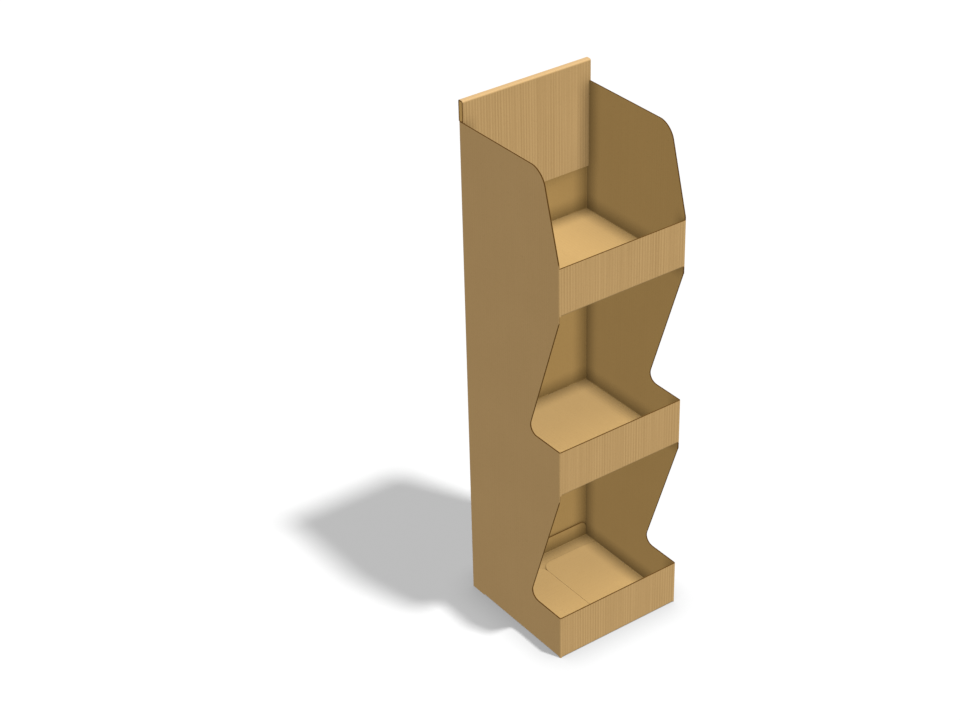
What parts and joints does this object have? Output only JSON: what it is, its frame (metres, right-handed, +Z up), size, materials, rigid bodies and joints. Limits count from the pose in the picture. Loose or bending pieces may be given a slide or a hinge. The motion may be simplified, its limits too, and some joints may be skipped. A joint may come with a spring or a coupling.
{
  "type": "cardboard display stand",
  "caption": "Tall narrow floor display folded from a corrugated board sheet, with open tiers behind low front lips, sloped side cut-outs, a tucked base and a folded-over header.",
  "frame": {"origin": "middle of the footprint, on the floor", "axes": "+Z up, the open front with its lips faces -Y, the back with the header is at +Y, +X to the right seen from the front"},
  "size_m": [0.3, 0.3, 1.125],
  "materials": {
    "kraft_board": "matte unprinted kraft liner"
  },
  "bodies": {
    "root": {"folded_display": "kraft_board"}
  },
  "joints": []
}
